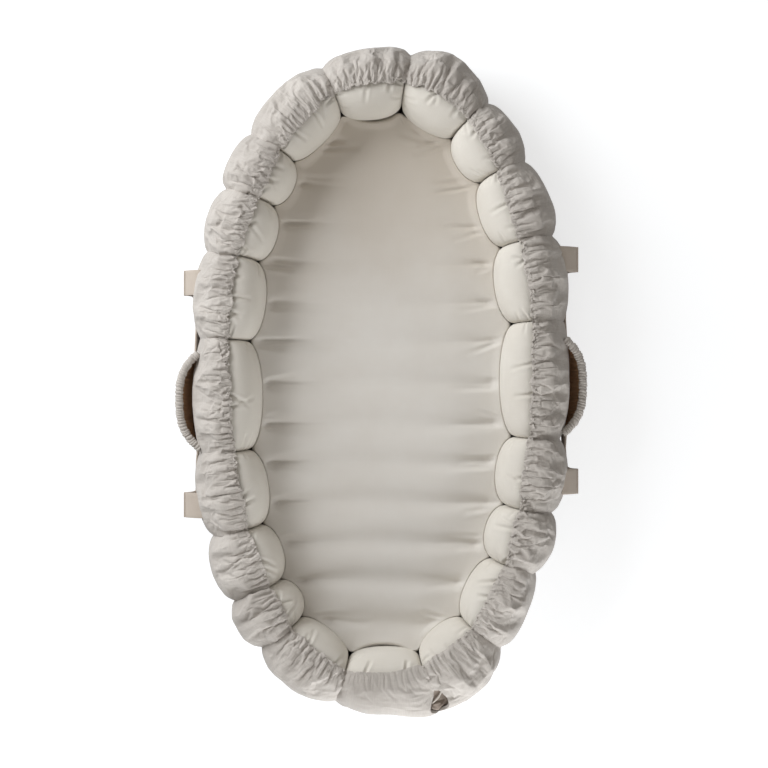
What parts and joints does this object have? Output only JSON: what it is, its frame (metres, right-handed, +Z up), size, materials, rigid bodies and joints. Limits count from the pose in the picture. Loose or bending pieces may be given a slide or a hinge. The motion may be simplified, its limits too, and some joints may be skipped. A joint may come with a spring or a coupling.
{
  "type": "infant lounger",
  "caption": "Soft oval baby nest: a ring of stuffed chambers round a quilted floor, in a fitted cover with gathered hem, side pockets and webbing handles.",
  "frame": {"origin": "on the floor, under the middle of the lounger's box", "axes": "+Z up, +Y towards the head end, +X to the right seen from above"},
  "size_m": [0.5205, 0.8472, 0.1169],
  "materials": {
    "nest_cotton": "matte cream cotton, fibre filled",
    "quilt_cotton": "matte cream cotton, quilted in channels",
    "cover_cotton": "washed beige cotton, gathered and creased",
    "webbing": "flat woven cotton webbing",
    "foam": "open-cell foam",
    "elastic": "woven elastic band"
  },
  "bodies": {
    "nest": {"cover_base": "cover_cotton", "mattress_core": "foam", "floor_quilt": "quilt_cotton", "bolster_chamber_01": "nest_cotton", "bolster_chamber_02": "nest_cotton", "bolster_chamber_03": "nest_cotton", "bolster_chamber_04": "nest_cotton", "bolster_chamber_05": "nest_cotton", "bolster_chamber_06": "nest_cotton", "bolster_chamber_07": "nest_cotton", "bolster_chamber_08": "nest_cotton", "bolster_chamber_09": "nest_cotton", "bolster_chamber_10": "nest_cotton", "bolster_chamber_11": "nest_cotton", "bolster_chamber_12": "nest_cotton", "bolster_chamber_13": "nest_cotton", "bolster_chamber_14": "nest_cotton", "bolster_chamber_15": "nest_cotton", "bolster_chamber_16": "nest_cotton", "bolster_chamber_17": "nest_cotton", "bolster_chamber_18": "nest_cotton", "bolster_chamber_19": "nest_cotton", "bolster_chamber_20": "nest_cotton", "skirt_head": "cover_cotton", "skirt_right": "cover_cotton", "skirt_foot": "cover_cotton", "skirt_left": "cover_cotton", "hem_casing": "cover_cotton", "hem_elastic": "elastic", "elastic_knot": "elastic", "pocket_right": "cover_cotton", "pocket_hem_right": "cover_cotton", "pocket_elastic_right": "elastic", "handle_tab_right_head": "webbing", "handle_tab_right_foot": "webbing", "pocket_left": "cover_cotton", "pocket_hem_left": "cover_cotton", "pocket_elastic_left": "elastic", "handle_tab_left_head": "webbing", "handle_tab_left_foot": "webbing"},
    "handle_right": {"handle_loop_right": "webbing"},
    "handle_left": {"handle_loop_left": "webbing"}
  },
  "joints": [
    {"name": "handle_right_swing", "type": "hinge", "parent": "nest", "child": "handle_right", "pos_m": [0.25, 0.016, 0.062], "axis": [0, -1, 0], "range_deg": [0, 190]},
    {"name": "handle_left_swing", "type": "hinge", "parent": "nest", "child": "handle_left", "pos_m": [-0.25, -0.014, 0.062], "axis": [0, 1, 0], "range_deg": [0, 190]}
  ]
}
